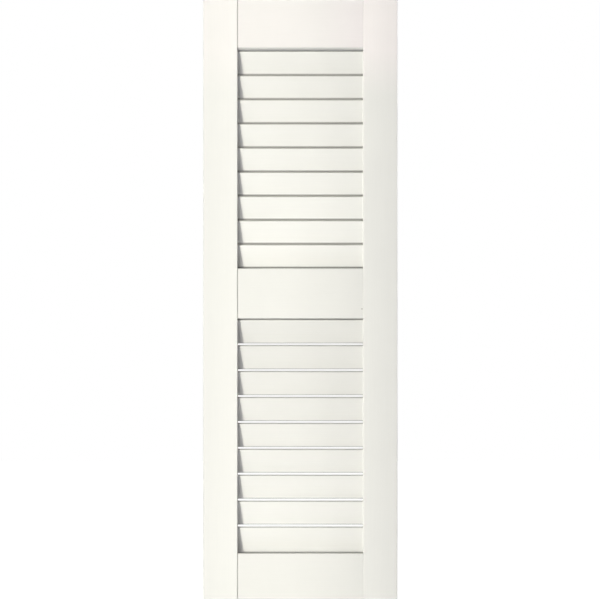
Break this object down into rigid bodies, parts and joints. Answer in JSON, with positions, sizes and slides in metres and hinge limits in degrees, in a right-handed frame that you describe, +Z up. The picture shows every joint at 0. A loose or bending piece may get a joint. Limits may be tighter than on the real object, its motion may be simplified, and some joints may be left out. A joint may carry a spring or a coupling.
{
  "type": "louvred shutter panel",
  "caption": "Tall narrow shutter panel: stiles and rails hold two banks of steep fixed slats that give shade and air behind a window opening.",
  "frame": {"origin": "middle of the panel's bottom edge, at half the thickness of the stiles", "axes": "+Z up the panel, +X to the right across its front, the front faces -Y and the back, towards the wall or window, faces +Y"},
  "size_m": [0.305, 0.0318, 0.94],
  "materials": {
    "frame_paint": "satin white paint on softwood, brushed",
    "louvre_paint": "satin white paint on softwood slats, brushed",
    "dowel_wood": "bare beech, glued"
  },
  "bodies": {
    "root": {"left_stile": "frame_paint", "right_stile": "frame_paint", "top_rail": "frame_paint", "mid_rail": "frame_paint", "bottom_rail": "frame_paint", "upper_louvre_1": "louvre_paint", "upper_louvre_2": "louvre_paint", "upper_louvre_3": "louvre_paint", "upper_louvre_4": "louvre_paint", "upper_louvre_5": "louvre_paint", "upper_louvre_6": "louvre_paint", "upper_louvre_7": "louvre_paint", "upper_louvre_8": "louvre_paint", "upper_louvre_9": "louvre_paint", "lower_louvre_1": "louvre_paint", "lower_louvre_2": "louvre_paint", "lower_louvre_3": "louvre_paint", "lower_louvre_4": "louvre_paint", "lower_louvre_5": "louvre_paint", "lower_louvre_6": "louvre_paint", "lower_louvre_7": "louvre_paint", "lower_louvre_8": "louvre_paint", "lower_louvre_9": "louvre_paint", "top_left_upper_dowel": "dowel_wood", "top_left_lower_dowel": "dowel_wood", "top_right_upper_dowel": "dowel_wood", "top_right_lower_dowel": "dowel_wood", "mid_left_upper_dowel": "dowel_wood", "mid_left_lower_dowel": "dowel_wood", "mid_right_upper_dowel": "dowel_wood", "mid_right_lower_dowel": "dowel_wood", "bottom_left_upper_dowel": "dowel_wood", "bottom_left_lower_dowel": "dowel_wood", "bottom_right_upper_dowel": "dowel_wood", "bottom_right_lower_dowel": "dowel_wood"}
  },
  "joints": []
}
